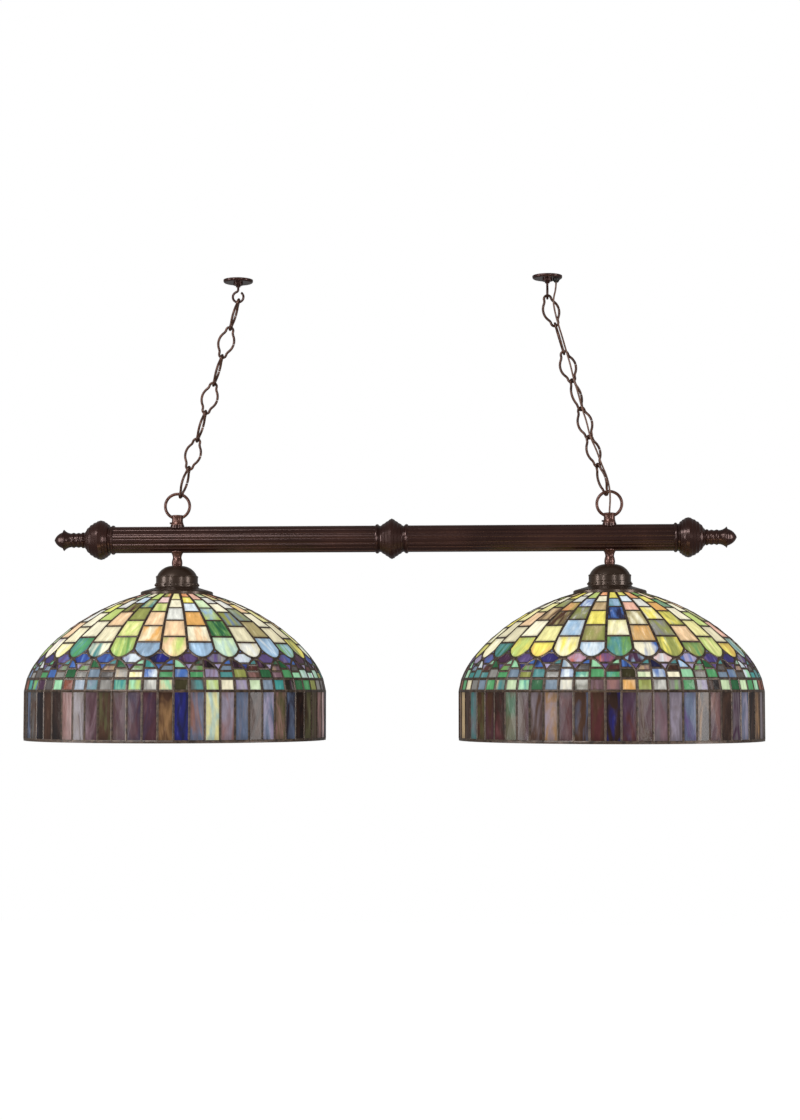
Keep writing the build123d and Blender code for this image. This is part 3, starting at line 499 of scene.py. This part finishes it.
class Panes:
    """Collects flat panes and the came round them, as lists of corners and faces."""

    def __init__(self, axis_x, facing, dice):
        self.axis_x, self.facing, self.dice = axis_x, facing, dice
        self.glass = {}
        self.came_corners, self.came_faces = [], []

    def add(self, kind, outline, words, half=None):
        """One pane from its outline of (columns to the right, height) and the glass it is cut from."""
        half = half or CAME_HALF[kind]
        rim = [on_dome(self.axis_x, self.facing + u * COLUMN, z) for u, z in outline]
        middle = sum(rim, Vector()) / len(rim)
        normal = sum((a.cross(b) for a, b in zip([p - middle for p in rim], [p - middle for p in rim[1:] + rim[:1]])),
                     Vector()).normalized()
        outward = (middle - Vector((self.axis_x, 0, LINE_Z - HEART_DEPTH))).normalized()
        if normal.dot(outward) < 0:
            rim.reverse()
            outline = list(reversed(outline))
            normal = -normal
        inset = []
        for before, corner, after in zip(rim[-1:] + rim[:-1], rim, rim[1:] + rim[:1]):
            first = (corner - before).normalized()
            second = (after - corner).normalized()
            inward = normal.cross(first).normalized() + normal.cross(second).normalized()
            size = max(inward.length_squared / 2, MITRE_LIMIT)
            inset.append(corner + inward * (half / size))
        self.add_glass(kind, inset, normal, words)
        self.add_came(outline, inset, normal)

    def crest_and_under(self, outline):
        """The outline on the crests of the solder, outside and inside the dome."""
        return [[on_dome(self.axis_x, self.facing + u * COLUMN, z, out) for u, z in outline]
                for out in (CAME_PROUD, -GLASS_T - CAME_PROUD)]

    def add_glass(self, kind, inset, normal, words):
        """The sheet itself, slightly swelled outside and flat inside, with its colours and the run of its streaks."""
        corners, faces, main, second, grain, depth = self.glass.setdefault(kind, ([], [], [], [], [], []))
        start = len(corners)
        count = len(inset)
        middle = sum(inset, Vector()) / count
        tuck = [p + (p - middle).normalized() * GLASS_TUCK for p in inset]
        corners += [p + normal * PANE_EDGE for p in tuck] + [middle + normal * PANE_SWELL]
        corners += [p - normal * GLASS_T for p in tuck] + [middle - normal * GLASS_T]
        for i in range(count):
            j = (i + 1) % count
            faces.append((start + i, start + j, start + count))
            faces.append((start + count + 1 + j, start + count + 1 + i, start + 2 * count + 1))
            faces.append((start + i, start + count + 1 + i, start + count + 1 + j, start + j))
        colour_a, colour_b = glass_pair(words)
        tint = self.dice.uniform(0.92, 1.06)
        # mask for the painted shade: 0 at the pane's edge, 1 at its middle
        depth += ([0.0] * count + [1.0]) * 2
        main += [[c * tint for c in colour_a]] * (2 * count + 2)
        second += [[c * tint for c in colour_b]] * (2 * count + 2)
        lean = self.dice.uniform(-0.5, 0.5)
        offset = Vector((self.dice.uniform(0, 90), self.dice.uniform(0, 90), self.dice.uniform(0, 90)))
        sideways = Vector((0, 0, 1)).cross(normal)
        sideways = sideways.normalized() if sideways.length > 0.01 else Vector((1, 0, 0))
        upwards = normal.cross(sideways).normalized()
        for p in corners[start:]:
            across = (p - middle).dot(sideways)
            along = (p - middle).dot(upwards)
            run = across * STREAK_ACROSS + along * STREAK_LEAN * lean
            grain.append(offset + Vector((run, along * STREAK_ALONG, 0)))

    def add_came(self, outline, inset, normal):
        """Rounded solder line along each edge: a crest over the joint and a foot on the glass, inside and outside."""
        crest, under = self.crest_and_under(outline)
        foot = [p + normal * CAME_FOOT for p in inset]
        sole = [p - normal * (GLASS_T + CAME_FOOT) for p in inset]
        start = len(self.came_corners)
        count = len(inset)
        self.came_corners += crest + foot + sole + under
        for i in range(count):
            j = (i + 1) % count
            for row in range(4):
                here = start + row * count
                there = start + (row + 1) % 4 * count
                self.came_faces.append((here + i, here + j, there + j, there + i))

    def add_solder(self, outline):
        """Solid patch of solder."""
        crest, under = self.crest_and_under(outline)
        start = len(self.came_corners)
        count = len(outline)
        outward = sum(crest, Vector()) - sum(under, Vector())
        turn = sum((a.cross(b) for a, b in zip(crest, crest[1:] + crest[:1])), Vector())
        if turn.dot(outward) < 0:
            crest.reverse()
            under.reverse()
        self.came_corners += crest + under
        self.came_faces.append(tuple(start + i for i in range(count)))
        self.came_faces.append(tuple(start + count + i for i in range(count))[::-1])
        for i in range(count):
            j = (i + 1) % count
            self.came_faces.append((start + j, start + i, start + count + i, start + count + j))


def brick(left_u, right_u, low, high):
    """Four-sided pane."""
    return [(left_u, low), (right_u, low), (right_u, high), (left_u, high)]


def foot(x):
    """Height of a scallop's foot at a distance of x columns from its middle."""
    return SCALLOP_TIP + (SCALLOP_SIDE - SCALLOP_TIP) * (2 * x) ** 2


def arch(x):
    """Height of the arch at a distance of x columns from its middle."""
    return ARCH_TIP - (ARCH_TIP - ARCH_SIDE) * (2 * x) ** 2


BRIDGE = 0.125                                    # half the solder between a scallop's tip and its arch
NOTCH = 0.375                                     # top of the jewel and foot of the small triangle
WAIST = 0.3                                       # foot of the jewel and top of the V
LEFT_QUARTER, RIGHT_QUARTER = 0.35, 0.44          # how far an arch's upper panes reach
FOOT_STEPS = (0, BRIDGE, 0.25, NOTCH, 0.5)
ARCH_STEPS = (0, BRIDGE, 0.21, WAIST, LEFT_QUARTER, 0.4, RIGHT_QUARTER, 0.5)


def follow(height, steps, u, way, start, end):
    """Places along a foot or an arch to one side of its middle, from start to end."""
    places = [(u + way * x, height(x)) for x in steps if min(start, end) <= x <= max(start, end)]
    return places if start < end else places[::-1]


def scallop(u, top):
    """Brick with a rounded foot."""
    return (follow(foot, FOOT_STEPS, u, -1, 0.5, 0) + follow(foot, FOOT_STEPS, u, 1, BRIDGE, 0.5)
            + [(u + 0.5, top), (u - 0.5, top)])


def left_arch_panes(u):
    """Quarter, middle and thin rectangle of an arch's left half."""
    shelf = (u, arch(LEFT_QUARTER))
    return [[shelf] + follow(arch, ARCH_STEPS, u, -1, 0, LEFT_QUARTER),
            [(u, ARCH_SIDE), shelf] + follow(arch, ARCH_STEPS, u, -1, LEFT_QUARTER, 0.5),
            [(u, SQUARE_H), (u, ARCH_SIDE), (u - 0.5, ARCH_SIDE), (u - 0.5, SQUARE_H)]]


def right_arch_panes(u):
    """Tall quarter and tall rectangle of an arch's right half."""
    shelf = arch(RIGHT_QUARTER)
    return [[(u, shelf)] + follow(arch, ARCH_STEPS, u, 1, 0, RIGHT_QUARTER),
            [(u, SQUARE_H), (u, shelf), (u + RIGHT_QUARTER, shelf), (u + 0.5, ARCH_SIDE), (u + 0.5, SQUARE_H)]]


def joint_panes(u):
    """Small triangle, flat jewel and V between two scallops and two arches; u is where the scallops meet."""
    left, right = u - 0.5, u + 0.5
    triangle = [(left + NOTCH, foot(NOTCH)), (right - NOTCH, foot(NOTCH)), (u, SCALLOP_SIDE)]
    jewel = (follow(foot, FOOT_STEPS, left, 1, NOTCH, BRIDGE) + follow(arch, ARCH_STEPS, left, 1, BRIDGE, WAIST)
             + follow(arch, ARCH_STEPS, right, -1, WAIST, BRIDGE) + follow(foot, FOOT_STEPS, right, -1, BRIDGE, NOTCH))
    vee = (follow(arch, ARCH_STEPS, left, 1, WAIST, 0.5)
           + follow(arch, ARCH_STEPS, right, -1, RIGHT_QUARTER, WAIST))
    return triangle, jewel, vee


def solder_bridge(u):
    """Solder between a scallop's tip and the arch below it."""
    return (follow(foot, FOOT_STEPS, u, -1, BRIDGE, 0) + [(u + BRIDGE, foot(BRIDGE))]
            + follow(arch, ARCH_STEPS, u, 1, BRIDGE, 0) + [(u - BRIDGE, arch(BRIDGE))])


# glass to pick from for the jewels that follow no plan
JEWEL_MIX = {"triangle": ["violet", "blue/violet", "lilac/blue"],
             "vee": ["violet", "indigo/blue", "lilac/violet", "lavender"],
             "left_quarter": ["teal", "green/teal", "smoke/deepgreen", "mint/grey", "blue"],
             "left_middle": ["maroon/brown", "black/brown", "mauve/tan", "leaf/grey", "slate", "smoke"],
             "right_quarter": ["teal/turquoise", "mist/sky", "deepgreen", "plum/black", "blue/navy", "mint"]}


def lay_out(panes, side):
    """Every pane of one dome, column by column from the front."""
    dice = panes.dice
    for place in range(COLUMNS):
        k = place if place <= COLUMNS // 2 else place - COLUMNS
        rows = LONG_ROWS if k % 2 == 0 else SHORT_ROWS
        heights = [CROWN_TOP] + list(rows)
        planned = CROWN_PLAN[side].get(k, "").split()
        for i in range(len(rows)):
            words = planned[i] if i < len(planned) else dice.choice(SPARE_GLASS["crown"])
            panes.add("crown", brick(k - 0.5, k + 0.5, heights[i + 1], heights[i]), words)
        words = SCALLOP_PLAN[side].get(k) or dice.choice(SPARE_GLASS["scallop"])
        panes.add("crown", scallop(k, heights[-1]), words)
        triangle, jewel, vee = joint_panes(k + 0.5)
        jewel_words = from_run(JEWEL_PLAN[side], k, "jewel", dice)
        panes.add("jewels", triangle, dice.choice(JEWEL_MIX["triangle"]))
        panes.add("jewels", jewel, jewel_words)
        panes.add_solder(solder_bridge(k))
        panes.add("jewels", vee, dice.choice(JEWEL_MIX["vee"]))
        quarter, middle, thin = left_arch_panes(k)
        panes.add("jewels", quarter, dice.choice(JEWEL_MIX["left_quarter"]))
        panes.add("jewels", middle, dice.choice(JEWEL_MIX["left_middle"]))
        panes.add("jewels", thin, from_run(RECTANGLE_PLAN[side], 2 * k - 1, "small", dice))
        quarter, tall = right_arch_panes(k)
        panes.add("jewels", quarter, dice.choice(JEWEL_MIX["right_quarter"]))
        panes.add("jewels", tall, from_run(RECTANGLE_PLAN[side], 2 * k, "small", dice))
        for half in (-1, 0):
            index = 2 * k + half
            left_u = index / 2
            words = from_run(SQUARE_PLAN[side], index, "small", dice)
            panes.add("jewels", brick(left_u, left_u + 0.5, 0, SQUARE_H), words, CAME_HALF["squares"])
            words = from_run(STRIP_PLAN[side], index, "strip", dice)
            panes.add("strips", brick(left_u, left_u + 0.5, -SKIRT_DEPTH, 0), words)


def mesh_piece(name, corners, faces, material):
    """New piece at the origin, its place in its mesh."""
    mesh = bpy.data.meshes.new(name)
    mesh.from_pydata(corners, [], faces)
    mesh.validate()
    mesh.materials.append(material)
    piece = bpy.data.objects.new(name, mesh)
    bpy.context.collection.objects.link(piece)
    return piece


def write_pane_colours(mesh, main, second, grain, depth):
    """The pane's two colours, the run of its streaks and the mask of its painted edge shade, corner by corner."""
    for label, values in (("pane_main", main), ("pane_second", second)):
        store = mesh.attributes.new(label, "FLOAT_COLOR", "POINT")
        store.data.foreach_set("color", [c for value in values for c in (*value, 1)])
    store = mesh.attributes.new("pane_grain", "FLOAT_VECTOR", "POINT")
    store.data.foreach_set("vector", [c for value in grain for c in value])
    store = mesh.attributes.new("pane_depth", "FLOAT", "POINT")
    store.data.foreach_set("value", depth)


SHEETS = {"crown": (crown_sheet, "crown_panes", "crown_glass"), "jewels": (jewel_sheet, "jewel_panes", "scallop_glass"),
          "strips": (skirt_sheet, "strip_panes", "skirt_glass")}


def make_dome(side):
    """One shade's panes in three pieces, and the net of solder that holds them."""
    sign = -1 if side == "left" else 1
    panes = Panes(sign * LAMP_X, COLUMN_FACING[side], random.Random(7 + sign))
    lay_out(panes, side)
    for kind, (material, label, node) in SHEETS.items():
        corners, faces, main, second, grain, depth = panes.glass[kind]
        piece = mesh_piece(f"{side}_{label}", corners, faces, material)
        write_pane_colours(piece.data, main, second, grain, depth)
        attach(piece, f"{side}_shade")
        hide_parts(f"{side}_{node}")
    came = mesh_piece(f"{side}_came_net", panes.came_corners, panes.came_faces, lead_came)
    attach(came, f"{side}_shade")


# ---------------------------------------------------------------- the supply cord
HOOK = Vector((0.261, 0, -0.038))                 # the wire's middle at the foot of the right-hand hook
LEAN = math.radians(16.2725)                      # the chain's lean outwards
RING_Z = -0.38401                                 # middle of the hanging loop's ring
BUSHING_X = 0.276                                 # where the cord leaves the ceiling plate
CORD_R = 0.0015
CORD_SIDES = 14
# down the chain, to the right, to the front, in millimetres
CORD_WEAVE = [(6, 7.9, 6), (24, 5.4, 5.5), (46.6, 4.5, 4.8), (71, 4.8, 6.1), (96, 4.4, 5.3), (120, 4.4, 6.9),
              (145, 2.7, 6.3), (170, 3.2, 7.1), (195, 1.8, 6.5), (219, 3, 7.3), (244, 1, 6.9), (268, 5, 6.1),
              (293, 6.3, 2.9), (316, 9, 4.9), (338, 7.5, 5.5)]
TOP_PART = CORD_WEAVE[1]                          # its upper piece ends here, beside the top link
CHAIN_PART = CORD_WEAVE[8]                        # its lower piece begins here, halfway down the chain


def by_the_chain(down, sideways, forward):
    """Place beside the right-hand chain."""
    along = Vector((math.sin(LEAN), 0, -math.cos(LEAN)))
    beside = Vector((math.cos(LEAN), 0, math.sin(LEAN)))
    return HOOK + along * down * MM + beside * sideways * MM - Vector((0, forward * MM, 0))


def cord_route():
    """From the ceiling plate, down beside the chain, through the loop's socket and along inside the bar."""
    first = [Vector((BUSHING_X, 0, 0)), Vector((BUSHING_X, 0, -0.020))]
    last = [Vector((0.3635, -0.0026, RING_Z + 0.004)), Vector((LAMP_X, 0, BAR_Z + 0.044)),
            Vector((LAMP_X, 0, BAR_Z + 0.009)), Vector((LAMP_X - 0.016, 0, BAR_Z + 0.0026)),
            Vector((LAMP_X - 0.030, 0, BAR_Z + 0.0026))]
    return first + [by_the_chain(*place) for place in CORD_WEAVE] + last


def smooth_line(name, route):
    """Points along a smooth curve whose control points are the route."""
    curve = bpy.data.curves.new(name, "CURVE")
    curve.dimensions = "3D"
    curve.resolution_u = 12
    spline = curve.splines.new("NURBS")
    spline.points.add(len(route) - 1)
    for point, place in zip(spline.points, route):
        point.co = (*place, 1)
    spline.order_u = 3
    spline.use_endpoint_u = True
    line = bpy.data.objects.new(name, curve)
    bpy.context.collection.objects.link(line)
    bpy.context.view_layer.update()
    mesh = bpy.data.meshes.new_from_object(line)
    points = [vertex.co.copy() for vertex in mesh.vertices]
    bpy.data.objects.remove(line)
    bpy.data.meshes.remove(mesh)
    return points


def cord_rings(points):
    """A ring of corners round each point of the line, turned with it and never twisted."""
    forward = Vector((0, -1, 0))
    rings = []
    for i, point in enumerate(points):
        ahead = points[min(i + 1, len(points) - 1)] - points[max(i - 1, 0)]
        ahead.normalize()
        across = forward.cross(ahead).normalized()
        forward = ahead.cross(across).normalized()
        turns = [2 * math.pi * k / CORD_SIDES for k in range(CORD_SIDES)]
        rings.append([point + (across * math.cos(a) + forward * math.sin(a)) * CORD_R for a in turns])
    return rings


def tube_faces(rows):
    """Wall and two end caps of a tube with that many rings."""
    faces = []
    for row in range(rows - 1):
        here, there = row * CORD_SIDES, (row + 1) * CORD_SIDES
        for k in range(CORD_SIDES):
            j = (k + 1) % CORD_SIDES
            faces.append((here + k, here + j, there + j, there + k))
    faces.append(tuple(range(CORD_SIDES))[::-1])
    faces.append(tuple((rows - 1) * CORD_SIDES + k for k in range(CORD_SIDES)))
    return faces


def cord_pieces():
    """The cord as one tube, parted where it passes from one moving body to the next."""
    points = smooth_line("cord_line", cord_route())
    rings = cord_rings(points)

    def nearest(place):
        return min(range(len(points)), key=lambda i: (points[i] - by_the_chain(*place)).length)

    first_cut, second_cut = nearest(TOP_PART), nearest(CHAIN_PART)
    plate_exit, loop_entry = Vector((BUSHING_X, 0, -0.022)), Vector((LAMP_X, 0, BAR_Z + 0.042))
    spans = [("supply_cord_top", 0, first_cut, "ceiling", "right_top_link", plate_exit, points[first_cut]),
             ("supply_cord_middle", first_cut, second_cut, "right_top_link", "right_chain",
              by_the_chain(34, 5, 5), by_the_chain(62, 5, 5)),
             ("supply_cord_bottom", second_cut, len(points) - 1, "right_chain", "bar",
              by_the_chain(325, 8, 5), loop_entry)]
    for name, low, high, above, below, start, end in spans:
        part = rings[low:high + 1]
        piece = mesh_piece(name, [corner for ring in part for corner in ring], tube_faces(len(part)), cord_cover)
        piece.data.shade_smooth()
        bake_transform(piece)
        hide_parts("supply_cord")


# ---------------------------------------------------------------- making
add_camera()
add_studio()
finish_frame_nodes()
for side in SIDES:
    make_dome(side)
cord_pieces()
